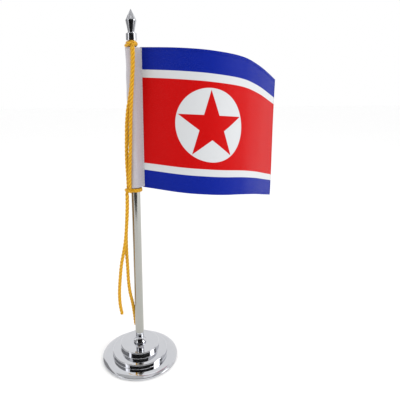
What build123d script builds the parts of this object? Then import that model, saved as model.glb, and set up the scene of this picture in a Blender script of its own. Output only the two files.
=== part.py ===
"""Desk flag stand: a weighted three-tier base, a slip-on pole with a screwed finial, and a flag tied on
with one twisted cord. Millimetres, +Z up, origin at the centre of the underside of the felt pad. The
pole stands on the Z axis and the flag flies towards +X."""

from math import pi, radians, tan
import os

from build123d import *

# ---- driving dimensions ----
base_r = 42.5  # widest radius of the lowest tier
rim_z = 2.5  # top of the lowest tier's upright edge
rim_slope = 7.0  # the lowest tier curves down over this width
rim_bend_r = 0.6
tier_2_r = 31.0  # riser radius of the middle tier
tier_3_r = 21.9  # riser radius of the top platform
tier_1_top = 4.9  # flat of the lowest tier
tier_2_top = 10.1  # front edge of the middle tier
riser_3_foot_z = 11.0  # the middle tier's top rises towards the platform
platform_z = 18.0
shoulder_r = 1.0  # outer bend at the top of each riser
riser_foot_r = 0.5  # inner bend where each riser meets the flat
shell_t = 0.8  # spun steel
felt_t = 1.2

tube_r = 4.75
tube_bore_r = 4.0
tube_foot_z = 30.85
tube_top_z = 342.4

spigot_r = 3.2
spigot_length = 29.3
running_gap = 0.05

cap_r = 5.35
cap_foot_z = 348.6
cap_top_z = 355.7
waist_r = 2.7
stud_r = 2.0

finial_foot_z = 356.6
finial_shoulder_z = 367.6
finial_shoulder_r = 5.3
finial_apex_z = 377.5

hoist = 139.1  # height of the flag along the pole
sleeve_top_z = 342.0
sleeve_foot_z = sleeve_top_z - hoist
sleeve_r = 5.7  # outside of the round part of the pole sleeve
sleeve_x = -0.4  # the sleeve hangs a little off the pole's axis
cloth_t = 0.4
panel_t = 0.6

cord_d = 3.8
cord_r = cord_d / 2

# ---- free cord routes, top to bottom ----
strand_left_route = [
    (0.4, -7.8, 342.3),
    (0.4, -7.8, 328.0),
    (-0.7, -7.9, 311.0),
    (-2.9, -7.8, 295.5),
    (-5.5, -6.6, 283.5),
    (-7.0, -4.5, 270.0),
    (-7.6, -3.3, 256.0),
    (-8.2, -2.6, 240.0),
    (-8.2, -2.7, 225.0),
    (-7.6, -2.7, 212.0),
    (-7.6, -2.7, 202.8),
]
strand_right_route = [
    (1.2, -11.7, 342.3),
    (1.2, -11.7, 329.5),
    (-0.2, -11.8, 311.0),
    (-1.4, -11.4, 296.0),
    (-2.4, -10.3, 283.0),
    (-3.2, -8.9, 268.5),
    (-3.8, -7.7, 253.5),
    (-4.5, -6.9, 238.5),
    (-5.3, -6.2, 224.0),
    (-5.8, -6.1, 211.5),
    (-5.8, -6.1, 202.8),
]
tail_left_route = [
    (-8.9, -5.2, 195.6),
    (-8.9, -5.2, 184.5),
    (-10.3, -5.4, 165.0),
    (-12.0, -5.6, 146.0),
    (-14.6, -5.2, 131.5),
    (-17.7, -4.9, 117.0),
    (-19.5, -4.6, 101.0),
    (-21.1, -4.3, 84.0),
    (-20.9, -4.1, 70.0),
    (-20.0, -4.0, 62.8),
    (-18.9, -3.9, 56.8),
]
tail_right_route = [
    (-9.2, -1.3, 195.6),
    (-9.2, -1.3, 185.5),
    (-10.3, -1.5, 167.0),
    (-11.6, -1.6, 149.0),
    (-11.7, -1.9, 131.0),
    (-11.1, -2.2, 113.0),
    (-10.9, -2.2, 97.0),
    (-9.7, -1.9, 82.0),
    (-7.2, 0.8, 68.0),
    (-5.8, 3.5, 54.0),
    (-4.9, 4.8, 43.5),
    (-4.4, 5.3, 36.8),
]

os.makedirs("parts", exist_ok=True)


def save(part, name):
    """Label one finished piece and write it to its own file."""
    part.label = name
    export_step(part, f"parts/{name}.step")


# ---- weighted base ----
with BuildPart() as felt_pad:
    Cylinder(radius=base_r - 1.3, height=felt_t, align=(Align.CENTER, Align.CENTER, Align.MIN))
    chamfer(felt_pad.edges().sort_by(Axis.Z)[0], length=0.3)
save(felt_pad.part, "felt_pad")


def tier_outline(inset, hole_r, foot_z):
    """The stepped dome's outer line, moved inwards by inset, from the rim up to the centre hole."""
    rim = (base_r - inset, rim_z - inset)
    flat_1 = (base_r - rim_slope, tier_1_top - inset)
    corner_2 = (tier_2_r - inset, tier_1_top - inset)
    corner_3 = (tier_3_r - inset, riser_3_foot_z - inset)
    Polyline((hole_r, foot_z), (rim[0], foot_z), rim)
    TangentArc(flat_1, rim, tangent=(1, 0))
    Polyline(flat_1, corner_2, (corner_2[0], tier_2_top - shoulder_r))
    EllipticalCenterArc(
        center=(tier_2_r - shoulder_r, tier_2_top - shoulder_r),
        x_radius=shoulder_r - inset,
        y_radius=shoulder_r - inset,
        arc_size=90,
    )
    Polyline(
        (tier_2_r - shoulder_r, tier_2_top - inset),
        corner_3,
        (corner_3[0], platform_z - shoulder_r),
    )
    EllipticalCenterArc(
        center=(tier_3_r - shoulder_r, platform_z - shoulder_r),
        x_radius=shoulder_r - inset,
        y_radius=shoulder_r - inset,
        arc_size=90,
    )
    Polyline(
        (tier_3_r - shoulder_r, platform_z - inset), (hole_r, platform_z - inset), (hole_r, foot_z)
    )


screw_hole_r = 2.6
shell_foot_z = 0.6

with BuildPart() as base_shell:
    with BuildSketch(Plane.XZ):
        with BuildLine():
            tier_outline(0, screw_hole_r, shell_foot_z)
        make_face()
    revolve(axis=Axis.Z)
    with BuildSketch(Plane.XZ):
        with BuildLine():
            tier_outline(shell_t, 0.01, shell_foot_z)
        make_face()
    revolve(axis=Axis.Z, mode=Mode.SUBTRACT)
    for riser_r in (tier_2_r, tier_3_r):
        riser_edges = base_shell.edges().filter_by(GeomType.CIRCLE).filter_by(
            lambda edge: abs(edge.radius - riser_r) < 0.05
        )
        fillet(riser_edges.sort_by(Axis.Z)[0], radius=riser_foot_r)
    rim_edges = base_shell.edges().filter_by(GeomType.CIRCLE).filter_by_position(
        Axis.Z, rim_z - 0.05, rim_z + 0.05
    )
    fillet(rim_edges.sort_by(SortBy.RADIUS)[-1], radius=rim_bend_r)
save(base_shell.part, "base_shell")

ballast_gap = 0.15
counterbore_r = 5.2
counterbore_top = 7.2

with BuildPart() as ballast_disc:
    for radius, foot, top in (
        (base_r - rim_slope, felt_t, tier_1_top - shell_t - ballast_gap),
        (26.0, felt_t, tier_2_top - shell_t - ballast_gap),
        (18.6, felt_t, platform_z - shell_t - ballast_gap),
    ):
        with Locations((0, 0, foot)):
            Cylinder(radius=radius, height=top - foot, align=(Align.CENTER, Align.CENTER, Align.MIN))
    with Locations((0, 0, felt_t)):
        Cylinder(
            radius=counterbore_r,
            height=counterbore_top - felt_t,
            align=(Align.CENTER, Align.CENTER, Align.MIN),
            mode=Mode.SUBTRACT,
        )
    Cylinder(radius=screw_hole_r, height=4 * platform_z, mode=Mode.SUBTRACT)
save(ballast_disc.part, "ballast_disc")

screw_r = 2.45
head_r = 4.25
head_top = 6.0
head_height = 3.2
screw_end_z = 24.0

with BuildPart() as base_screw:
    with Locations((0, 0, head_top)):
        Cylinder(
            radius=head_r, height=head_height, align=(Align.CENTER, Align.CENTER, Align.MAX)
        )
    chamfer(base_screw.edges().sort_by(Axis.Z)[0], length=0.4)
    with Locations((0, 0, head_top)):
        Cylinder(
            radius=screw_r,
            height=screw_end_z - head_top,
            align=(Align.CENTER, Align.CENTER, Align.MIN),
        )
    chamfer(base_screw.edges().sort_by(Axis.Z)[-1], length=0.5)
    with BuildSketch(Plane.XY.offset(head_top - head_height)):
        RegularPolygon(radius=2.3, side_count=6)
    extrude(amount=2.0, mode=Mode.SUBTRACT)
save(base_screw.part, "base_screw")

with BuildPart() as lock_washer:
    with BuildSketch(Plane.XY.offset(head_top)):
        Circle(4.6)
        Circle(screw_hole_r, mode=Mode.SUBTRACT)
        with Locations((3.6, 0)):
            Rectangle(2.6, 0.8, rotation=25, mode=Mode.SUBTRACT)
    extrude(amount=counterbore_top - head_top)
save(lock_washer.part, "lock_washer")

# ---- ferrule with its spigot ----
bell_r = 7.1
neck_r = 4.5
groove_r = 4.1
neck_foot_z = 25.4
neck_groove_z = 28.5

with BuildPart() as ferrule:
    with BuildSketch(Plane.XZ):
        with BuildLine():
            Polyline((0, platform_z), (6.2, platform_z), (6.4, platform_z + 0.2))
            rim = ThreePointArc(
                (6.4, platform_z + 0.2), (bell_r, platform_z + 1.1), (6.7, platform_z + 2.2)
            )
            Spline(
                (6.7, platform_z + 2.2),
                (5.4, platform_z + 4.4),
                (4.7, platform_z + 6.7),
                tangents=(rim % 1, (0, 1)),
            )
            Polyline(
                (4.7, platform_z + 6.7),
                (groove_r, platform_z + 7.0),
                (groove_r, neck_foot_z),
                (neck_r, neck_foot_z + 0.3),
                (neck_r, neck_groove_z),
                (groove_r, neck_groove_z + 0.2),
                (groove_r, neck_groove_z + 0.5),
                (neck_r, neck_groove_z + 0.8),
                (neck_r, tube_foot_z - running_gap),
                (spigot_r, tube_foot_z - running_gap),
                (spigot_r, tube_foot_z + spigot_length - 0.6),
                (spigot_r - 0.6, tube_foot_z + spigot_length),
                (0, tube_foot_z + spigot_length),
                (0, platform_z),
            )
        make_face()
    revolve(axis=Axis.Z)
    with Locations((0, 0, platform_z)):
        Cylinder(
            radius=screw_r + running_gap,
            height=screw_end_z + 1.0 - platform_z,
            align=(Align.CENTER, Align.CENTER, Align.MIN),
            mode=Mode.SUBTRACT,
        )
save(ferrule.part, "ferrule")

bush_outer_r = tube_bore_r - 0.07

with BuildPart() as spigot_bush:
    with BuildSketch(Plane.XY.offset(tube_foot_z)):
        Circle(bush_outer_r)
        Circle(spigot_r + running_gap, mode=Mode.SUBTRACT)
        with Locations((bush_outer_r, 0)):
            Rectangle(1.6, 0.7, mode=Mode.SUBTRACT)
    extrude(amount=spigot_length - 1.5)
    chamfer(spigot_bush.edges().group_by(Axis.Z)[-1].filter_by(GeomType.CIRCLE).sort_by(
        SortBy.RADIUS)[-1], length=0.3)
save(spigot_bush.part, "spigot_bush")

# ---- pole ----
with BuildPart() as pole_tube:
    with BuildSketch(Plane.XY.offset(tube_foot_z)):
        Circle(tube_r)
        Circle(tube_bore_r, mode=Mode.SUBTRACT)
    extrude(amount=tube_top_z - tube_foot_z)
    chamfer(pole_tube.edges().group_by(Axis.Z)[0].sort_by(SortBy.RADIUS)[-1], length=0.25)
save(pole_tube.part, "pole_tube")

plug_length = 10.0
stud_foot_z = cap_foot_z + 0.9
stud_top_z = 364.7

with BuildPart() as pole_cap:
    with BuildSketch(Plane.XZ):
        with BuildLine():
            Polyline(
                (0, tube_top_z - plug_length),
                (tube_bore_r - 0.5, tube_top_z - plug_length),
                (tube_bore_r, tube_top_z - plug_length + 0.5),
                (tube_bore_r, tube_top_z),
                (tube_r, tube_top_z),
                (tube_r, tube_top_z + 0.4),
                (waist_r + 0.5, tube_top_z + 0.6),
                (waist_r, tube_top_z + 1.1),
                (waist_r, cap_foot_z - 0.5),
                (waist_r + 0.5, cap_foot_z),
                (cap_r - 0.3, cap_foot_z),
                (cap_r, cap_foot_z + 0.3),
                (cap_r, cap_top_z - 0.5),
                (cap_r - 0.5, cap_top_z),
                (0, cap_top_z),
                (0, tube_top_z - plug_length),
            )
        make_face()
    revolve(axis=Axis.Z)
    with Locations((0, 0, stud_foot_z)):
        Cylinder(
            radius=stud_r,
            height=2 * (cap_top_z - stud_foot_z),
            align=(Align.CENTER, Align.CENTER, Align.MIN),
            mode=Mode.SUBTRACT,
        )
save(pole_cap.part, "pole_cap")

with BuildPart() as finial_stud:
    with Locations((0, 0, stud_foot_z)):
        Cylinder(
            radius=stud_r,
            height=stud_top_z - stud_foot_z,
            align=(Align.CENTER, Align.CENTER, Align.MIN),
        )
    chamfer(finial_stud.edges().sort_by(Axis.Z)[-1], length=0.5)
save(finial_stud.part, "finial_stud")

# ---- screwed finial on its captive washer ----
with BuildPart() as finial_washer:
    with BuildSketch(Plane.XY.offset(cap_top_z + running_gap)):
        Circle(3.7)
        Circle(stud_r + running_gap, mode=Mode.SUBTRACT)
    extrude(amount=finial_foot_z - cap_top_z - 2 * running_gap)
    outer_edges = finial_washer.edges().filter_by(GeomType.CIRCLE).sort_by(SortBy.RADIUS)[-2:]
    fillet(outer_edges, radius=0.25)
save(finial_washer.part, "finial_washer")

with BuildPart() as finial:
    with BuildSketch(Plane.XZ):
        with BuildLine():
            Polyline((0, finial_apex_z), (0, finial_foot_z), (3.2, finial_foot_z))
            Spline(
                (3.2, finial_foot_z),
                (4.1, finial_foot_z + 4.6),
                (finial_shoulder_r, finial_shoulder_z - 0.9),
                tangents=((0.25, 1), (0.22, 1)),
            )
            ThreePointArc(
                (finial_shoulder_r, finial_shoulder_z - 0.9),
                (finial_shoulder_r + 0.05, finial_shoulder_z - 0.1),
                (finial_shoulder_r - 0.25, finial_shoulder_z + 0.6),
            )
            Spline(
                (finial_shoulder_r - 0.25, finial_shoulder_z + 0.6),
                (3.1, finial_shoulder_z + 4.6),
                (0.5, finial_apex_z - 0.35),
                tangents=((-0.5, 1), (-0.5, 1)),
            )
            Polyline(
                (0.5, finial_apex_z - 0.35), (0.3, finial_apex_z - 0.08), (0, finial_apex_z)
            )
        make_face()
    revolve(axis=Axis.Z)
    with Locations((0, 0, finial_foot_z)):
        Cylinder(
            radius=stud_r + running_gap,
            height=stud_top_z + 0.5 - finial_foot_z,
            align=(Align.CENTER, Align.CENTER, Align.MIN),
            mode=Mode.SUBTRACT,
        )
save(finial.part, "finial")

# ---- flag: printed panel, pole sleeve and the seam between them ----
panel_plan = [
    (9.3, 1.1),
    (23.4, -7.3),
    (36.6, -15.0),
    (50.5, -20.8),
    (64.5, -23.4),
    (79.0, -22.9),
    (93.5, -18.9),
    (106.3, -11.9),
    (118.8, -1.6),
    (135.4, 17.5),
    (151.5, 38.0),
    (167.3, 59.0),
]
panel_top_line = [
    (4.0, 342.1),
    (36.6, 340.8),
    (64.5, 338.9),
    (79.0, 337.4),
    (93.5, 335.6),
    (106.3, 333.6),
    (118.8, 330.6),
    (135.4, 324.7),
    (151.5, 317.7),
    (172.0, 308.6),
]

with BuildPart() as flag_sheet:
    with BuildSketch(Plane.XY.offset(sleeve_foot_z - 50)):
        with BuildLine():
            Spline(*panel_plan)
        trace(line_width=panel_t)
    extrude(amount=hoist + 60)
    with BuildSketch(Plane.XZ.offset(-80)):
        with BuildLine():
            top_edge = Spline(*panel_top_line)
            bottom_edge = Spline(*[(x, z - hoist) for x, z in panel_top_line])
            Line(top_edge @ 0, bottom_edge @ 0)
            Line(top_edge @ 1, bottom_edge @ 1)
        make_face()
    extrude(amount=160, mode=Mode.INTERSECT)
save(flag_sheet.part, "flag_sheet")

lip_x, lip_y = 9.35, 1.05
lip_angle = -31
lip_length = 2.4

with BuildPart() as flag_sleeve:
    with BuildSketch(Plane.XY.offset(sleeve_foot_z)):
        with BuildSketch(mode=Mode.PRIVATE) as outer:
            with Locations((sleeve_x, 0)):
                Circle(sleeve_r)
            with Locations((lip_x, lip_y)):
                Rectangle(lip_length, panel_t + 2 * cloth_t, rotation=lip_angle)
            make_hull()
        add(outer.sketch)
        offset(outer.sketch, amount=-cloth_t, mode=Mode.SUBTRACT)
    extrude(amount=hoist)
    add(flag_sheet.part, mode=Mode.SUBTRACT)
save(flag_sleeve.part, "flag_sleeve")

thread_r = 0.2
thread_x, thread_y = 9.06, -1.08  # on the sleeve's front face, over the lip

with BuildPart() as seam_thread:
    with Locations((thread_x, thread_y, sleeve_foot_z + 1)):
        Cylinder(
            radius=thread_r, height=hoist - 2, align=(Align.CENTER, Align.CENTER, Align.MIN)
        )
save(seam_thread.part, "seam_thread")

# ---- cord: hitch in the cap's waist, knot under the sleeve ----
hitch_inner_r = waist_r + 0.25
hitch_outer_r = 5.7
hitch_foot_z = 343.45
hitch_top_z = 348.05

with BuildPart() as cord_top_hitch:
    with BuildSketch(Plane.XY.offset(hitch_foot_z)):
        Circle(hitch_outer_r)
        Circle(hitch_inner_r, mode=Mode.SUBTRACT)
    extrude(amount=hitch_top_z - hitch_foot_z)
    with BuildSketch(Plane.XY.offset(strand_left_route[0][2])):
        with Locations((0.8, -9.6)):
            RectangleRounded(5.0, 8.4, 1.8)
    extrude(amount=4.4)
save(cord_top_hitch.part, "cord_top_hitch")

knot_inner_r = tube_r + 0.15
wrap_outer_r = 7.2
knot_foot_z = tail_left_route[0][2]
knot_top_z = strand_left_route[-1][2]

with BuildPart() as cord_bottom_knot:
    with BuildSketch(Plane.XY.offset(knot_foot_z + 0.9)):
        Circle(wrap_outer_r)
    extrude(amount=5.0)
    with BuildSketch(Plane.XY.offset(knot_foot_z)):
        with Locations((-7.0, -3.6)):
            RectangleRounded(8.8, 9.0, 2.4)
    extrude(amount=knot_top_z - knot_foot_z)
    with Locations((0, 0, knot_foot_z - 1)):
        Cylinder(
            radius=knot_inner_r,
            height=knot_top_z - knot_foot_z + 2,
            align=(Align.CENTER, Align.CENTER, Align.MIN),
            mode=Mode.SUBTRACT,
        )
save(cord_bottom_knot.part, "cord_bottom_knot")


def bend_radii(route):
    """One radius for each inner point: 0.45 of its shorter run over the tangent of half its turn."""
    points = [Vector(*p) for p in route]
    radii = []
    for before, here, after in zip(points, points[1:], points[2:]):
        turn = (here - before).get_angle(after - here)
        shorter = min((here - before).length, (after - here).length)
        radii.append(0.45 * shorter / tan(radians(turn) / 2))
    return radii


def cord_tube(name, route):
    """A round cord along straight runs joined by tangent arcs, checked against section times length."""
    radii = bend_radii(route)
    with BuildPart() as cord:
        with BuildLine():
            path = FilletPolyline(*route, radius=radii)
        with BuildSketch(Plane(origin=path @ 0, z_dir=path % 0)):
            Circle(cord_r)
        sweep()
    expected = pi * cord_r**2 * path.length
    print(name, "length", round(path.length, 1), "smallest radius", round(min(radii), 1))
    print(name, "volume over section times length", round(cord.part.volume / expected, 4))
    save(cord.part, name)


cord_tube("cord_strand_left", strand_left_route)
cord_tube("cord_strand_right", strand_right_route)
cord_tube("cord_tail_left", tail_left_route)
cord_tube("cord_tail_right", tail_right_route)
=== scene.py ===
from math import cos, exp, pi, radians, sin

import bpy
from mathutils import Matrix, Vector


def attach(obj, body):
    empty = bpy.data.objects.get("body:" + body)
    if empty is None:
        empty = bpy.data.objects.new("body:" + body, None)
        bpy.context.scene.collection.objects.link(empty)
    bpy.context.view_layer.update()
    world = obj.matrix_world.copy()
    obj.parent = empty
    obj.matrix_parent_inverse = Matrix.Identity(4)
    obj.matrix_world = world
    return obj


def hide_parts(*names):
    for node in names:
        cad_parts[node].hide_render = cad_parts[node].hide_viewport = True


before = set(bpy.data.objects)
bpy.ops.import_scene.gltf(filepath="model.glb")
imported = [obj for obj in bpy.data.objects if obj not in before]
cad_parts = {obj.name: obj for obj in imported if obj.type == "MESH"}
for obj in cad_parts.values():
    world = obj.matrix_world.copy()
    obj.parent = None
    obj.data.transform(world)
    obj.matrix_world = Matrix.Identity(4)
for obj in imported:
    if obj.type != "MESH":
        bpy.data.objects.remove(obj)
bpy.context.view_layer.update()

mm = 0.001


# ---------------------------------------------------------------- mesh helpers
def new_mesh(name, verts, faces, material, body):
    """One mesh object with its material, riding on a CAD body."""
    mesh = bpy.data.meshes.new(name)
    mesh.from_pydata([tuple(v) for v in verts], [], faces)
    mesh.validate()
    piece = bpy.data.objects.new(name, mesh)
    bpy.context.collection.objects.link(piece)
    mesh.materials.append(material)
    mesh.shade_smooth()
    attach(piece, body)
    return piece


def put_attribute(mesh, name, values):
    """A vector attribute with one (x, y, z) for each vertex."""
    layer = mesh.attributes.new(name, "FLOAT_VECTOR", "POINT")
    layer.data.foreach_set("vector", [x for v in values for x in v])


def smooth_line(points, per_span):
    """Catmull-Rom points through a profile or plan line."""
    out = []
    ends = [2 * Vector(points[0]) - Vector(points[1])]
    ends += [Vector(p) for p in points]
    ends.append(2 * Vector(points[-1]) - Vector(points[-2]))
    for a, b, c, d in zip(ends, ends[1:], ends[2:], ends[3:]):
        for i in range(per_span):
            u = i / per_span
            out.append(
                0.5 * (2 * b + (c - a) * u + (2 * a - 5 * b + 4 * c - d) * u**2
                       + (3 * b - a - 3 * c + d) * u**3)
            )
    out.append(ends[-2])
    return out


def resample(line, step):
    """Evenly spaced points along a line."""
    out = [line[0]]
    carry = 0.0
    for a, b in zip(line, line[1:]):
        span = (b - a).length
        if span < 1e-9:
            continue
        place = step - carry
        while place < span:
            out.append(a.lerp(b, place / span))
            place += step
        carry = (carry + span) % step
    if (out[-1] - line[-1]).length > step / 3:
        out.append(line[-1])
    return out


# ---------------------------------------------------------------- material helpers
class Shader:
    """A material's node tree with a Principled shader."""

    def __init__(self, name, **settings):
        self.material = bpy.data.materials.new(name)
        self.material.use_nodes = True
        self.tree = self.material.node_tree
        self.tree.nodes.clear()
        output = self.tree.nodes.new("ShaderNodeOutputMaterial")
        self.surface = self.add("ShaderNodeBsdfPrincipled")
        self.link(self.surface.outputs[0], output.inputs[0])
        for socket, value in settings.items():
            self.surface.inputs[socket.replace("_", " ")].default_value = value

    def add(self, kind, inputs=None, **settings):
        """One node, its settings, and its inputs as values or as other nodes' outputs."""
        node = self.tree.nodes.new(kind)
        for key, value in settings.items():
            setattr(node, key, value)
        for key, value in (inputs or {}).items():
            self.feed(node.inputs[key], value)
        return node

    def feed(self, socket, value):
        if isinstance(value, bpy.types.NodeSocket):
            self.tree.links.new(value, socket)
        else:
            socket.default_value = value

    def link(self, source, target):
        self.tree.links.new(source, target)

    def math(self, operation, *values):
        node = self.add("ShaderNodeMath", operation=operation)
        for socket, value in zip(node.inputs, values):
            self.feed(socket, value)
        return node.outputs[0]

    def place(self):
        """Object coordinates, which are the shared frame's metres at rest."""
        return self.add("ShaderNodeTexCoord").outputs["Object"]

    def attribute(self, name):
        node = self.add("ShaderNodeAttribute", attribute_name=name)
        return node.outputs["Vector"]

    def split(self, vector):
        node = self.add("ShaderNodeSeparateXYZ", {0: vector})
        return node.outputs[0], node.outputs[1], node.outputs[2]

    def noise(self, vector, scale, detail=3.0, roughness=0.55):
        node = self.add(
            "ShaderNodeTexNoise",
            {"Vector": vector, "Scale": scale, "Detail": detail, "Roughness": roughness},
        )
        return node.outputs[0]

    def ramp(self, value, low, high, out_low, out_high):
        node = self.add(
            "ShaderNodeMapRange",
            {0: value, 1: low, 2: high, 3: out_low, 4: out_high},
        )
        return node.outputs[0]

    def mix(self, factor, a, b):
        node = self.add("ShaderNodeMix", data_type="RGBA")
        self.feed(node.inputs[0], factor)
        self.feed(node.inputs[6], a)
        self.feed(node.inputs[7], b)
        return node.outputs[2]

    def bump(self, height, distance, strength=1.0):
        node = self.add(
            "ShaderNodeBump", {"Height": height, "Distance": distance, "Strength": strength}
        )
        previous = self.surface.inputs["Normal"].links
        if previous:
            self.link(previous[0].from_socket, node.inputs["Normal"])
        self.link(node.outputs[0], self.surface.inputs["Normal"])


def rgb(red, green, blue):
    """A colour from its screen values, 0 to 255, to the linear ones that a shader takes."""
    def linear(c):
        c /= 255
        return c / 12.92 if c <= 0.04045 else ((c + 0.055) / 1.055) ** 2.4
    return (linear(red), linear(green), linear(blue), 1.0)


# ---------------------------------------------------------------- materials
def polished_metal(name, colour, roughness, stretch=(1, 1, 1)):
    """Plated and buffed steel: faint buffing lines, soft smudges and a few rough specks."""
    s = Shader(name, Base_Color=colour, Metallic=1.0, Roughness=roughness)
    place = s.place()
    drawn = s.add("ShaderNodeMapping", {"Vector": place, "Scale": stretch}).outputs[0]
    smudge = s.noise(place, 60.0, 4.0)
    lines = s.noise(drawn, 900.0, 2.0)
    speck = s.noise(place, 2600.0, 1.0)
    rough = s.ramp(smudge, 0.45, 0.75, roughness, roughness + 0.07)
    rough = s.math("ADD", rough, s.ramp(speck, 0.66, 0.74, 0.0, 0.10))
    s.link(rough, s.surface.inputs["Roughness"])
    shade = s.mix(s.ramp(smudge, 0.3, 0.8, 0.0, 0.35), colour,
                  (colour[0] * 0.86, colour[1] * 0.87, colour[2] * 0.9, 1))
    s.link(shade, s.surface.inputs["Base Color"])
    s.bump(lines, 0.000004, 0.5)
    s.bump(s.noise(place, 90.0, 1.0), 0.00002, 0.35)
    return s.material


chrome = polished_metal("chrome", rgb(206, 207, 211), 0.045)
pole_chrome = polished_metal("pole_chrome", rgb(172, 172, 166), 0.12, (1, 1, 0.02))
zinc = polished_metal("zinc_plate", rgb(190, 190, 186), 0.28)


def cast_iron():
    s = Shader("cast_iron", Base_Color=rgb(60, 60, 62), Metallic=0.7, Roughness=0.65)
    place = s.place()
    s.bump(s.noise(place, 900.0, 6.0), 0.0003)
    s.link(s.mix(s.noise(place, 300.0), rgb(44, 44, 46), rgb(82, 78, 76)),
           s.surface.inputs["Base Color"])
    return s.material


def felt():
    s = Shader("felt", Roughness=1.0, Sheen_Weight=0.35, Sheen_Roughness=0.6)
    place = s.place()
    fibres = s.noise(place, 2400.0, 5.0, 0.7)
    s.link(s.mix(fibres, rgb(18, 20, 22), rgb(52, 56, 58)), s.surface.inputs["Base Color"])
    s.bump(fibres, 0.0002)
    return s.material


def nylon():
    s = Shader("nylon", Base_Color=rgb(226, 222, 208), Roughness=0.42,
               Subsurface_Weight=0.15, Subsurface_Radius=(0.002, 0.002, 0.002))
    place = s.place()
    s.bump(s.noise(place, 1500.0), 0.00003)
    s.link(s.ramp(s.noise(place, 500.0), 0.3, 0.7, 0.36, 0.5), s.surface.inputs["Roughness"])
    return s.material


iron = cast_iron()
black_felt = felt()
natural_nylon = nylon()


# ---------------------------------------------------------------- camera and stage
camera_place = Vector((0, -0.4091, 0.3132))
camera_pitch = radians(12.92)
camera_yaw = radians(7.29)

camera_data = bpy.data.cameras.new("camera")
camera = bpy.data.objects.new("camera", camera_data)
bpy.context.collection.objects.link(camera)
camera.location = camera_place
camera.rotation_euler = (pi / 2 - camera_pitch, 0, -camera_yaw)
camera_data.lens = 36
camera_data.sensor_width = 36
camera_data.shift_x = 0.0375
camera_data.shift_y = -0.075
camera_data.clip_start = 0.01
bpy.context.scene.camera = camera

world = bpy.data.worlds.new("studio")
bpy.context.scene.world = world
world.use_nodes = True
world.node_tree.nodes["Background"].inputs[0].default_value = (1, 1, 1, 1)
world.node_tree.nodes["Background"].inputs[1].default_value = 1.0
bpy.context.scene.view_settings.view_transform = "Standard"


def plain_stage(name, colour, roughness):
    s = Shader(name, Base_Color=colour, Roughness=roughness)
    s.link(s.mix(s.noise(s.place(), 3.0), colour, tuple(0.99 * c for c in colour[:3]) + (1,)),
           s.surface.inputs["Base Color"])
    return s.material


def flat_card(name, corners, material):
    mesh = bpy.data.meshes.new(name)
    mesh.from_pydata(corners, [], [tuple(range(len(corners)))])
    card = bpy.data.objects.new(name, mesh)
    bpy.context.collection.objects.link(card)
    mesh.materials.append(material)
    return card


floor_half = 4.0
flat_card(
    "floor",
    [(-floor_half, -floor_half, 0), (floor_half, -floor_half, 0),
     (floor_half, floor_half, 0), (-floor_half, floor_half, 0)],
    plain_stage("floor_pale", rgb(254, 254, 254), 0.9),
)


def tent_card(name, corners, shade):
    """A side of the light tent: it is seen in reflections, but isn't in view."""
    card = flat_card(name, corners, plain_stage(name + "_cloth", rgb(shade, shade, shade), 1.0))
    card.visible_camera = False
    card.visible_shadow = False
    card.visible_diffuse = False


# the tent is open and dark towards the camera, with grey cloth at both sides and overhead
gap_y, gap_half, gap_foot, gap_top = -0.8, 1.15, -0.3, 1.6
table_z = 0.0015
tent_front, tent_top = -0.6, 1.5
left_x, left_back = -1.3, 1.4
right_x, right_back = 1.4, 0.35
roof_half, roof_front, roof_back = 1.1, -0.65, 0.3
tent_card(
    "tent_gap",
    [(-gap_half, gap_y, gap_foot), (gap_half, gap_y, gap_foot),
     (gap_half, gap_y, gap_top), (-gap_half, gap_y, gap_top)],
    14,
)
tent_card(
    "table_end",
    [(-gap_half, gap_y, table_z), (gap_half, gap_y, table_z),
     (0.1, -0.5, table_z), (-0.6, -0.44, table_z)],
    30,
)
tent_card(
    "tent_left",
    [(left_x, tent_front, 0.0), (left_x, left_back, 0.0),
     (left_x, left_back, tent_top), (left_x, tent_front, tent_top)],
    150,
)
tent_card(
    "tent_right",
    [(right_x, tent_front, 0.0), (right_x, right_back, 0.0),
     (right_x, right_back, tent_top), (right_x, tent_front, tent_top)],
    150,
)
tent_card(
    "tent_roof",
    [(-roof_half, roof_front, tent_top), (roof_half, roof_front, tent_top),
     (roof_half, roof_back, tent_top), (-roof_half, roof_back, tent_top)],
    190,
)


def area_light(name, place, aim, size, power):
    data = bpy.data.lights.new(name, "AREA")
    data.shape = "RECTANGLE"
    data.size, data.size_y = size
    data.energy = power
    light = bpy.data.objects.new(name, data)
    light.location = place
    light.rotation_euler = (Vector(aim) - Vector(place)).to_track_quat("-Z", "Y").to_euler()
    bpy.context.collection.objects.link(light)


area_light("softbox_left", (-1.0, -0.75, 0.7), (0, 0, 0.2), (0.5, 0.7), 1.6)
area_light("softbox_top", (0.1, 0.0, 1.5), (0.05, 0, 0.2), (0.9, 0.9), 0.8)
area_light("softbox_right", (1.1, -0.35, 0.55), (0.1, 0, 0.27), (0.5, 0.7), 5.0)

# ---------------------------------------------------------------- CAD nodes that stay
for node, material in {
    "felt_pad": black_felt,
    "base_shell": chrome,
    "ballast_disc": iron,
    "base_screw": zinc,
    "lock_washer": zinc,
    "ferrule": chrome,
    "spigot_bush": natural_nylon,
    "pole_tube": pole_chrome,
    "pole_cap": chrome,
    "finial_stud": zinc,
    "finial_washer": chrome,
    "finial": chrome,
}.items():
    for material_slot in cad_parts[node].material_slots:
        material_slot.material = material


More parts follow.
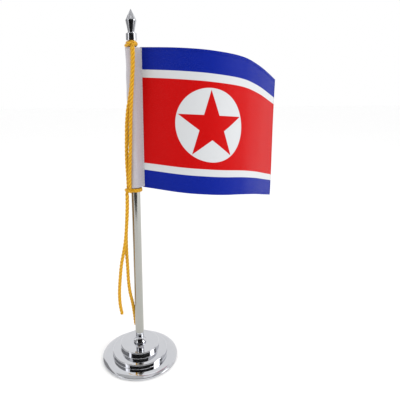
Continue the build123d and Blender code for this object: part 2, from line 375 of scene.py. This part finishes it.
# ---------------------------------------------------------------- flag
hoist = 141.7
panel_length = 200.0
panel_start = -1.4  # the print's first millimetres are caught in the seam
sleeve_top = 342.5
plan = [
    (9.3, 1.1), (23.4, -7.3), (36.6, -15.0), (50.5, -20.8), (64.5, -23.4), (79.0, -22.9),
    (93.5, -18.9), (106.3, -11.9), (118.8, -1.6), (135.4, 17.5), (151.5, 38.0), (167.3, 59.0),
]
top_line = [
    (4.0, 343.1), (36.6, 341.8), (64.5, 339.9), (79.0, 338.4), (93.5, 336.6), (106.3, 334.6),
    (118.8, 331.6), (135.4, 325.7), (151.5, 318.7), (172.0, 309.6),
]


def along(points, x):
    """Height of a line of (x, z) points at x."""
    for a, b in zip(points, points[1:]):
        if x <= b[0]:
            return a[1] + (b[1] - a[1]) * (x - a[0]) / (b[0] - a[0])
    return points[-1][1]


plan_line = smooth_line(plan, 24)
plan_length = [0.0]
for before, after in zip(plan_line, plan_line[1:]):
    plan_length.append(plan_length[-1] + (after - before).length)
top_smooth = [tuple(p) for p in smooth_line(top_line, 24)]


def plan_at(s):
    """Place and direction in plan at length s along the flag, in millimetres."""
    for i in range(1, len(plan_line)):
        if plan_length[i] >= s or i == len(plan_line) - 1:
            u = (s - plan_length[i - 1]) / (plan_length[i] - plan_length[i - 1])
            place = plan_line[i - 1].lerp(plan_line[i], min(u, 1.0))
            return place, (plan_line[i] - plan_line[i - 1]).normalized()


blue_top, white_top, red_band, white_low = 21.2, 7.7, 86.5, 7.3
disc_s, disc_t, disc_r = 72.8, 71.3, 36.6
star_s, star_t, star_r, star_turn = 72.9, 71.8, 35.6, radians(-2)
hem = 3.4
hem_rise = 0.3  # width over which a hem's step rises


def satin():
    """Printed polyester satin: the print as bands, a disc and a star in the cut's own millimetres."""
    s = Shader("printed_satin", Roughness=0.42, Specular_IOR_Level=0.06,
               Sheen_Weight=0.06, Sheen_Roughness=0.35)
    along_fly, down, _ = s.split(s.attribute("cut"))

    blur = 0.12

    def beyond(value, edge):
        return s.ramp(value, edge - blur, edge + blur, 0.0, 1.0)

    red = s.mix(s.noise(s.attribute("cut"), 0.35, 3.0), rgb(180, 2, 3), rgb(196, 6, 6))
    blue = s.mix(s.noise(s.attribute("cut"), 0.35, 3.0), rgb(4, 26, 128), rgb(12, 36, 150))
    white = rgb(202, 204, 206)
    edge = blue_top
    print_colour = s.mix(beyond(down, edge), blue, white)
    edge += white_top
    print_colour = s.mix(beyond(down, edge), print_colour, red)
    edge += red_band
    print_colour = s.mix(beyond(down, edge), print_colour, white)
    edge += white_low
    print_colour = s.mix(beyond(down, edge), print_colour, blue)

    across = s.math("SUBTRACT", along_fly, disc_s)
    up = s.math("SUBTRACT", disc_t, down)
    reach = s.math("SQRT", s.math("ADD", s.math("MULTIPLY", across, across),
                                  s.math("MULTIPLY", up, up)))
    print_colour = s.mix(s.ramp(reach, disc_r - blur, disc_r + blur, 1.0, 0.0),
                         print_colour, white)

    across = s.math("SUBTRACT", along_fly, star_s)
    up = s.math("SUBTRACT", star_t, down)
    reach = s.math("SQRT", s.math("ADD", s.math("MULTIPLY", across, across),
                                  s.math("MULTIPLY", up, up)))
    angle = s.math("SUBTRACT", s.math("ARCTAN2", across, up), star_turn)
    sector = 2 * pi / 5
    folded = s.math("ABSOLUTE", s.math("SUBTRACT",
                    s.math("FLOORED_MODULO", s.math("ADD", angle, sector / 2), sector),
                    sector / 2))
    x = s.math("SUBTRACT", s.math("MULTIPLY", reach, s.math("COSINE", folded)), star_r)
    y = s.math("MULTIPLY", reach, s.math("SINE", folded))
    outside = s.math("ADD", s.math("MULTIPLY", x, sin(pi / 10)),
                     s.math("MULTIPLY", y, cos(pi / 10)))
    print_colour = s.mix(s.ramp(outside, -blur, blur, 1.0, 0.0), print_colour, red)
    s.link(print_colour, s.surface.inputs["Base Color"])

    # satin floats: fine threads along the fly, crossed by widely spaced ties
    warp = s.math("SINE", s.math("MULTIPLY", down, 2 * pi / 0.28))
    weft = s.math("SINE", s.math("MULTIPLY", along_fly, 2 * pi / 0.9))
    s.bump(s.math("ADD", warp, s.math("MULTIPLY", weft, 0.4)), 0.00002, 0.5)
    slub = s.add("ShaderNodeMapping", {"Vector": s.attribute("cut"), "Scale": (0.12, 1.6, 1)})
    s.link(s.ramp(s.noise(slub.outputs[0], 1.0, 4.0), 0.3, 0.7, 0.36, 0.5),
           s.surface.inputs["Roughness"])
    s.bump(s.noise(slub.outputs[0], 0.8, 4.0), 0.00006, 0.35)
    glint = s.noise(s.attribute("cut"), 1.1, 2.0, 0.7)
    s.link(s.ramp(glint, 0.48, 0.68, 0.03, 0.26), s.surface.inputs["Specular IOR Level"])
    return s.material


printed_satin = satin()


def flag_point(s, t):
    """Where the cut's point (s along the fly, t down the hoist) hangs, in millimetres."""
    place, direction = plan_at(s)
    top = along(top_smooth, place.x)
    u = s / panel_length
    v = t / hoist
    normal = Vector((direction.y, -direction.x))
    ripple = 0.9 * sin(pi * min(u * 1.15, 1)) * sin(2.2 * pi * u + 1.9 * v)
    ripple += 0.35 * sin(9 * u + 5 * v + 0.7) * u
    place = place + normal * ripple * max(min(u * 4, 1), 0)
    place.x -= 0.1 * v * max(0.0, 1 - u * 5)
    return Vector((place.x, place.y, top - t))


def hem_step(s, t):
    """Extra half thickness of the folded hems along the top, the bottom and the fly."""
    edge = min(t, hoist - t, panel_length - s)
    if edge > hem:
        return 0.0
    return 0.11 * min(1.0, (hem - edge) / hem_rise)


def lines_of(start, stop, step, edges):
    """Grid lines from start to stop, with extra ones where a hem's step rises."""
    count = round((stop - start) / step)
    lines = {round(start + (stop - start) * i / count, 4) for i in range(count + 1)}
    return sorted(lines | set(edges))


def build_flag():
    s_lines = lines_of(panel_start, panel_length, 1.0,
                       (panel_length - hem, panel_length - hem + hem_rise))
    t_lines = lines_of(0, hoist, 1.0,
                       (hem, hem - hem_rise, hoist - hem, hoist - hem + hem_rise))
    columns, rows = len(s_lines) - 1, len(t_lines) - 1
    cloth = 0.15
    verts, cut, faces = [], [], []
    grid = {}
    for i, s in enumerate(s_lines):
        for j, t in enumerate(t_lines):
            grid[i, j] = flag_point(s, t)
            cut.append((s, t, 0))
    for side in (1, -1):
        for i, s in enumerate(s_lines):
            for j, t in enumerate(t_lines):
                du = grid[min(i + 1, columns), j] - grid[max(i - 1, 0), j]
                dv = grid[i, min(j + 1, rows)] - grid[i, max(j - 1, 0)]
                normal = dv.cross(du).normalized()
                verts.append((grid[i, j] + normal * (cloth + hem_step(s, t)) * side) * mm)
    count = (columns + 1) * (rows + 1)

    def number(i, j, side=0):
        return side * count + i * (rows + 1) + j

    for i in range(columns):
        for j in range(rows):
            faces.append((number(i, j), number(i, j + 1), number(i + 1, j + 1), number(i + 1, j)))
            faces.append((number(i, j, 1), number(i + 1, j, 1), number(i + 1, j + 1, 1),
                          number(i, j + 1, 1)))
    rim = [(i, 0) for i in range(columns)] + [(columns, j) for j in range(rows)]
    rim += [(i, rows) for i in range(columns, 0, -1)] + [(0, j) for j in range(rows, 0, -1)]
    for a, b in zip(rim, rim[1:] + rim[:1]):
        faces.append((number(*a), number(*b), number(*b, 1), number(*a, 1)))
    panel = new_mesh("flag_panel", verts, faces, printed_satin, "flag")
    put_attribute(panel.data, "cut", cut + cut)
    panel.data.set_sharp_from_angle(angle=radians(60))
    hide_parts("flag_sheet")
    return panel


def stitches(name, places, material, thread_r=0.17, rise=0.14):
    """Thread stitches: each (start, end, outward, cut) in millimetres is a tube dipping at its ends."""
    verts, faces, cut = [], [], []
    rings, sides = 7, 8
    for start, end, out, spot in places:
        ahead = (end - start).normalized()
        side = ahead.cross(out).normalized()
        out = side.cross(ahead)
        first = len(verts)
        for i in range(rings):
            u = i / (rings - 1)
            at_end = i in (0, rings - 1)
            centre = start.lerp(end, u) + out * (rise * sin(pi * u) - (0.2 if at_end else 0))
            r = thread_r * (0.6 if at_end else 1)
            for j in range(sides):
                angle = 2 * pi * j / sides
                verts.append((centre + (side * cos(angle) + out * sin(angle)) * r) * mm)
                cut.append(spot)
        for i in range(rings - 1):
            for j in range(sides):
                a = first + i * sides + j
                b = first + i * sides + (j + 1) % sides
                faces.append((a, b, b + sides, a + sides))
        last = first + (rings - 1) * sides
        faces.append(tuple(first + j for j in reversed(range(sides))))
        faces.append(tuple(last + j for j in range(sides)))
    piece = new_mesh(name, verts, faces, material, "flag")
    put_attribute(piece.data, "cut", cut)
    return piece


def hem_line(points):
    """Stitches through both faces of the panel along cut points, one for each pair."""
    out_of_middle = 0.27
    places = []
    for (s, t), (s2, t2) in points:
        start, end = flag_point(s, t), flag_point(s2, t2)
        across = flag_point(s + 0.5, t) - flag_point(s - 0.5, t)
        down = flag_point(s, t + 0.5) - flag_point(s, t - 0.5)
        normal = down.cross(across).normalized()
        for side in (1, -1):
            lift = normal * side * out_of_middle
            places.append((start + lift, end + lift, normal * side, (s, t, 0)))
    return places


panel = build_flag()

stitch_pitch, stitch_length, stitch_in = 2.6, 2.0, 2.5
fly_start, hoist_start, run_spare = 2.0, 3.0, 6.0
runs = []
for i in range(int((panel_length - run_spare) / stitch_pitch)):
    s = fly_start + i * stitch_pitch
    runs.append(((s, stitch_in), (s + stitch_length, stitch_in)))
    runs.append(((s, hoist - stitch_in), (s + stitch_length, hoist - stitch_in)))
for i in range(int((hoist - run_spare) / stitch_pitch)):
    t = hoist_start + i * stitch_pitch
    s = panel_length - stitch_in
    runs.append(((s, t), (s, t + stitch_length)))
hem_stitches = stitches("hem_stitches", hem_line(runs), printed_satin)


# ---------------------------------------------------------------- pole sleeve
def sleeve_cloth():
    """White woven tape cloth: two crossed threads with soft slubs."""
    s = Shader("sleeve_cloth", Roughness=0.85, Sheen_Weight=0.2, Sheen_Roughness=0.5,
               Specular_IOR_Level=0.3)
    around, up, _ = s.split(s.attribute("cut"))
    warp = s.math("SINE", s.math("MULTIPLY", around, 2 * pi / 0.42))
    weft = s.math("SINE", s.math("MULTIPLY", up, 2 * pi / 0.42))
    weave = s.math("MULTIPLY", warp, weft)
    slub = s.noise(s.attribute("cut"), 0.6, 4.0)
    tone = s.mix(s.ramp(slub, 0.3, 0.7, 0.0, 1.0), rgb(180, 175, 180), rgb(194, 189, 193))
    tone = s.mix(s.ramp(weave, -1, 1, 0.0, 0.25), tone, rgb(160, 158, 166))
    s.link(tone, s.surface.inputs["Base Color"])
    s.bump(weave, 0.00006, 0.6)
    s.bump(slub, 0.00012, 0.4)
    return s.material


def sewing_thread():
    s = Shader("sewing_thread", Roughness=0.6, Specular_IOR_Level=0.4)
    place = s.place()
    twist = s.noise(place, 5200.0, 2.0)
    s.link(s.mix(twist, rgb(196, 200, 206), rgb(232, 234, 236)), s.surface.inputs["Base Color"])
    s.bump(twist, 0.00004, 0.6)
    return s.material


white_tape = sleeve_cloth()
white_thread = sewing_thread()

sleeve_axis, sleeve_r = (-0.4, 0.0), 5.7
lip_centre, lip_half, lip_face, lip_turn = (8.95, 1.3), 0.95, 0.62, radians(-31)
lip_corner = 0.3
sleeve_foot = 202.1
fold, fold_rise = 3.2, 0.35  # the sleeve's folded ends, and the width over which they rise
sleeve_length = sleeve_top - sleeve_foot


def hull(points):
    """The convex outline round a set of plan points, anticlockwise."""
    ordered = sorted(set(points))
    outline = []
    for run in (ordered, ordered[::-1]):
        side = []
        for p in run:
            while len(side) > 1 and (
                (side[-1][0] - side[-2][0]) * (p[1] - side[-2][1])
                - (side[-1][1] - side[-2][1]) * (p[0] - side[-2][0])
            ) <= 0:
                side.pop()
            side.append(p)
        outline += side[:-1]
    return outline


def sleeve_outline(count):
    """The sleeve's plan, evenly spaced from the lip's tip: round the pole, then flat to the seam."""
    points = []
    for i in range(120):
        angle = 2 * pi * i / 120
        points.append((sleeve_axis[0] + sleeve_r * cos(angle), sleeve_axis[1] + sleeve_r * sin(angle)))
    for end in (-1, 1):
        for side in (-1, 1):
            for i in range(7):
                angle = i / 6 * pi / 2
                x = end * (lip_half + lip_corner * (cos(angle) - 1))
                y = side * (lip_face + lip_corner * (sin(angle) - 1))
                points.append((lip_centre[0] + x * cos(lip_turn) - y * sin(lip_turn),
                               lip_centre[1] + x * sin(lip_turn) + y * cos(lip_turn)))
    outline = [Vector(p) for p in hull(points)]
    tip = max(range(len(outline)), key=lambda i: outline[i].x)
    outline = outline[tip:] + outline[:tip + 1]
    total = sum((b - a).length for a, b in zip(outline, outline[1:]))
    even = resample([p.to_3d() for p in outline], total / count)
    return [p.to_2d() for p in even[:count]], total


def wrinkle(around, z):
    """How far the sleeve's cloth stands out of its plain tube, in millimetres."""
    angle = 2 * pi * around
    slack = sin(pi * around)
    from_top, from_foot = sleeve_top - z, z - sleeve_foot
    out = 0.16 * sin(z * 0.13 + 2 * angle) * slack
    out += 0.12 * sin(z * 0.31 - angle + 1.3) * slack
    out += 0.28 * exp(-(from_foot / 8) ** 2) * sin(5 * angle + 1) * slack
    out += 0.24 * exp(-(from_top / 6) ** 2) * sin(4 * angle + 2) * slack
    if min(from_top, from_foot) < fold:
        out += 0.16 * min(1.0, (fold - min(from_top, from_foot)) / fold_rise)
    return out


def drawn_in(place, z):
    """X of a place in plan at height z: towards its foot the lip leans a little to the pole."""
    down = (sleeve_top - z) / sleeve_length
    return place.x - 0.1 * down * max(0.0, place.x / 9.0)


def build_sleeve():
    count = 144
    wall = 0.3
    outline, total = sleeve_outline(count)
    normals = []
    for i in range(count):
        run = outline[(i + 1) % count] - outline[i - 1]
        normals.append(Vector((run.y, -run.x)).normalized())
    levels = lines_of(sleeve_foot, sleeve_top, 1.5,
                      (sleeve_foot + fold, sleeve_foot + fold - fold_rise,
                       sleeve_top - fold, sleeve_top - fold + fold_rise))
    verts, cut, faces = [], [], []
    for thickness in (0.0, wall):
        for z in levels:
            for i in range(count):
                place = outline[i] + normals[i] * (wrinkle(i / count, z) - thickness)
                edge = 0.25 * sin(4 * pi * i / count) * ((z - sleeve_foot) / sleeve_length - 0.5)
                verts.append(Vector((drawn_in(place, z), place.y, z + edge)) * mm)
                cut.append((total * i / count, z, 0))
    rows = len(levels)

    def number(i, j, side=0):
        return (side * rows + j) * count + i % count

    for j in range(rows - 1):
        for i in range(count):
            faces.append((number(i, j), number(i + 1, j), number(i + 1, j + 1), number(i, j + 1)))
            faces.append((number(i, j, 1), number(i, j + 1, 1), number(i + 1, j + 1, 1),
                          number(i + 1, j, 1)))
    for i in range(count):
        faces.append((number(i, 0), number(i, 0, 1), number(i + 1, 0, 1), number(i + 1, 0)))
        faces.append((number(i, rows - 1), number(i + 1, rows - 1), number(i + 1, rows - 1, 1),
                      number(i, rows - 1, 1)))
    sleeve = new_mesh("pole_sleeve", verts, faces, white_tape, "flag")
    put_attribute(sleeve.data, "cut", cut)
    sleeve.data.set_sharp_from_angle(angle=radians(50))
    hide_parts("flag_sleeve")

    def on_cloth(i, z):
        place = outline[i] + normals[i] * (wrinkle(i / count, z) + 0.03)
        return Vector((drawn_in(place, z), place.y, z))

    # the seam: one row of stitches on each face of the lip
    seam_in, seam_pitch, seam_stitch = 1.6, 3.0, 2.3
    places = []
    for i in (round(count * (1 - seam_in / total)), round(count * seam_in / total)):
        for k in range(int((sleeve_length - seam_pitch) / seam_pitch)):
            z = sleeve_foot + seam_in + seam_pitch * k
            places.append((on_cloth(i, z), on_cloth(i, z + seam_stitch), normals[i].to_3d(),
                           (0, 0, 0)))
    # the folded ends are sewn round once
    row_in = 2.3
    for level in (sleeve_foot + row_in, sleeve_top - row_in):
        for i in range(4, count - 6, 7):
            places.append((on_cloth(i, level), on_cloth(i + 5, level), normals[i].to_3d(),
                           (0, 0, 0)))
    seam = stitches("seam_stitches", places, white_thread, thread_r=0.19)
    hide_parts("seam_thread")


# ---------------------------------------------------------------- cords
def gold():
    s = Shader("gold_cord", Roughness=0.5, Sheen_Weight=0.08, Sheen_Roughness=0.4,
               Specular_IOR_Level=0.3)
    lay_x, lay_y, lay_z = s.split(s.attribute("lay"))
    fibre = s.math("SINE", s.math("ADD", s.math("MULTIPLY", lay_y, 14.0),
                                  s.math("MULTIPLY", lay_x, 5.0)))
    # painted shade: each strand turns a darker orange away from its outer crown, into the grooves
    # between the strands
    groove_shade = s.ramp(lay_z, 0.6, 0.97, 1.0, 0.0)
    base = s.mix(s.ramp(fibre, -1, 1, 0, 1), rgb(212, 153, 8), rgb(242, 195, 36))
    base = s.mix(groove_shade, base, rgb(194, 130, 12))
    s.link(base, s.surface.inputs["Base Color"])
    s.bump(fibre, 0.00006, 0.7)
    return s.material


gold_cord = gold()
cord_d = 3.8
lay_pitch = 12.6  # length of one full twist

strand_left = [
    (0.4, -7.8, 342.3), (0.4, -7.8, 328.0), (-0.7, -7.9, 311.0), (-2.9, -7.8, 295.5),
    (-5.5, -6.6, 283.5), (-7.0, -4.5, 270.0), (-7.6, -3.3, 256.0), (-8.2, -2.6, 240.0),
    (-8.2, -2.7, 225.0), (-7.6, -2.7, 212.0), (-7.6, -2.7, 202.8),
]
strand_right = [
    (1.2, -11.7, 342.3), (1.2, -11.7, 329.5), (-0.2, -11.8, 311.0), (-1.4, -11.4, 296.0),
    (-2.4, -10.3, 283.0), (-3.2, -8.9, 268.5), (-3.8, -7.7, 253.5), (-4.5, -6.9, 238.5),
    (-5.3, -6.2, 224.0), (-5.8, -6.1, 211.5), (-5.8, -6.1, 202.8),
]
tail_left = [
    (-8.9, -5.2, 195.6), (-8.9, -5.2, 184.5), (-10.3, -5.4, 165.0), (-12.0, -5.6, 146.0),
    (-14.6, -5.2, 131.5), (-17.7, -4.9, 117.0), (-19.5, -4.6, 101.0), (-21.1, -4.3, 84.0),
    (-20.9, -4.1, 70.0), (-20.0, -4.0, 62.8), (-18.9, -3.9, 56.8),
]
tail_right = [
    (-9.2, -1.3, 195.6), (-9.2, -1.3, 185.5), (-10.3, -1.5, 167.0), (-11.6, -1.6, 149.0),
    (-11.7, -1.9, 131.0), (-11.1, -2.2, 113.0), (-10.9, -2.2, 97.0), (-9.7, -1.9, 82.0),
    (-7.2, 0.8, 68.0), (-5.8, 3.5, 54.0), (-4.9, 4.8, 43.5), (-4.4, 5.3, 36.8),
]


def nurbs_line(name, route):
    """Points of the smooth line that a route's NURBS spline follows, in metres."""
    data = bpy.data.curves.new(name, "CURVE")
    data.dimensions = "3D"
    spline = data.splines.new("NURBS")
    spline.points.add(len(route) - 1)
    for point, place in zip(spline.points, route):
        point.co = (place[0] * mm, place[1] * mm, place[2] * mm, 1)
    spline.order_u = 3
    spline.use_endpoint_u = True
    spline.resolution_u = 24
    holder = bpy.data.objects.new(name, data)
    bpy.context.collection.objects.link(holder)
    bpy.context.view_layer.update()
    mesh = bpy.data.meshes.new_from_object(holder)
    line = [v.co.copy() for v in mesh.vertices]
    bpy.data.objects.remove(holder)
    bpy.data.curves.remove(data)
    bpy.data.meshes.remove(mesh)
    return line


def twisted(name, runs):
    """Runs of (line, diameter in mm, phase): each is three round strands laid together."""
    ply, sides = 3, 12
    step = 0.35
    strand_share = 0.285  # a strand's radius, as a share of the cord's diameter
    verts, faces, lay = [], [], []
    for line, diameter, phase in runs:
        line = resample(line, step * mm)
        strand_r = diameter * strand_share * mm
        offset = diameter * 0.5 * mm - strand_r
        pitch = lay_pitch * diameter / cord_d
        frames = []
        side = (line[1] - line[0]).orthogonal().normalized()
        for i, point in enumerate(line):
            ahead = (line[min(i + 1, len(line) - 1)] - line[max(i - 1, 0)]).normalized()
            side = (side - ahead * side.dot(ahead)).normalized()
            frames.append((point, ahead, side.copy(), ahead.cross(side)))
        for k in range(ply):
            first = len(verts)
            for i, (point, ahead, right, up) in enumerate(frames):
                s = i * step
                turn = 2 * pi * (s / pitch + k / ply) + phase
                out = right * cos(turn) + up * sin(turn)
                around = up * cos(turn) - right * sin(turn)
                slope = (ahead + around * (2 * pi * offset / (pitch * mm))).normalized()
                cross = out.cross(slope).normalized()
                centre = point + out * offset
                for j in range(sides):
                    angle = 2 * pi * j / sides
                    verts.append(centre + (out * cos(angle) + cross * sin(angle)) * strand_r)
                    # the third value runs from 1 on a strand's outer crown to 0 where it faces the
                    # cord's middle; the cord's material paints groove shade from it
                    lay.append((s, angle, (1 + cos(angle)) / 2))
            for i in range(len(frames) - 1):
                for j in range(sides):
                    a = first + i * sides + j
                    b = first + i * sides + (j + 1) % sides
                    faces.append((a, b, b + sides, a + sides))
            faces.append(tuple(first + j for j in reversed(range(sides))))
            last = first + (len(frames) - 1) * sides
            faces.append(tuple(last + j for j in range(sides)))
    piece = new_mesh(name, verts, faces, gold_cord, "flag")
    put_attribute(piece.data, "lay", lay)
    return piece


def run_of(points, diameter, phase=0.0):
    """A knot's run of cord through points in millimetres."""
    return ([p * mm for p in smooth_line(points, 12)], diameter, phase)


def turns(radius, start, stop, low, high, count):
    """Points round the pole, angles in degrees from the camera side towards the fly."""
    out = []
    for i in range(count + 1):
        u = i / count
        angle = radians(start + (stop - start) * u)
        out.append((radius * sin(angle), -radius * cos(angle), low + (high - low) * u))
    return out


def free_cord(name, node, route, phase=0.0):
    line = nurbs_line(name + "_line", route)
    piece = twisted(name, [(line, cord_d, phase)])
    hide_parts(node)


# two squeezed turns in the cap's waist, and a bar of the same cord across both legs
hitch = twisted("hitch", [
    run_of(
        [(0.4, -7.8, 342.3), (0.3, -7.5, 343.4), (-0.9, -6.2, 344.4)]
        + turns(4.2, -50, -280, 344.6, 344.6, 9)
        + turns(4.3, -300, -340, 345.5, 346.4, 2)
        + turns(4.2, -370, -610, 346.9, 346.7, 10)
        + [(4.6, -2.3, 345.5), (4.3, -5.0, 344.7), (3.3, -7.8, 344.6), (2.0, -10.6, 344.5),
           (1.2, -11.7, 343.6), (1.2, -11.7, 342.3)],
        3.0,
    ),
    run_of(
        [(-3.2, 1.8, 344.4), (-4.9, -0.6, 344.0), (-5.3, -3.6, 343.9), (-4.0, -6.6, 344.5),
         (-1.6, -8.7, 345.8), (1.0, -8.9, 346.6), (3.1, -7.1, 346.3), (4.0, -4.5, 345.8),
         (3.9, -1.6, 346.0)],
        3.4, 0.6,
    ),
])
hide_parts("cord_top_hitch")

# two tight turns round the pole, and a lump where the strands cross and leave as tails
knot = twisted("knot", [
    run_of(
        [(-7.8, -2.4, 199.8), (-6.6, -4.6, 200.4)]
        + turns(6.0, -35, 600, 200.4, 197.7, 22)
        + [(-6.8, -3.4, 197.9), (-8.2, -4.2, 198.4)],
        2.5, 0.9,
    ),
    run_of(
        [(-7.6, -2.7, 202.8), (-7.7, -2.8, 201.6), (-8.8, -3.6, 199.6), (-9.2, -4.8, 197.6),
         (-8.9, -5.2, 195.6)],
        3.1, 0.2,
    ),
    run_of(
        [(-5.8, -6.1, 202.8), (-6.0, -6.2, 201.4), (-7.4, -5.9, 199.6), (-8.8, -3.6, 197.8),
         (-9.3, -1.4, 196.6), (-9.2, -1.3, 195.6)],
        3.1, 1.4,
    ),
    run_of(
        [(-5.6, -2.6, 198.2), (-7.6, -1.0, 198.8), (-9.7, -2.2, 199.7), (-9.9, -4.9, 200.4),
         (-8.0, -7.2, 200.0), (-5.6, -7.2, 198.9), (-4.2, -6.2, 198.2)],
        2.9, 2.2,
    ),
])
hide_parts("cord_bottom_knot")

build_sleeve()

free_cord("strand_left", "cord_strand_left", strand_left)
free_cord("strand_right", "cord_strand_right", strand_right, phase=1.1)
free_cord("tail_left", "cord_tail_left", tail_left, phase=0.4)
free_cord("tail_right", "cord_tail_right", tail_right, phase=2.0)
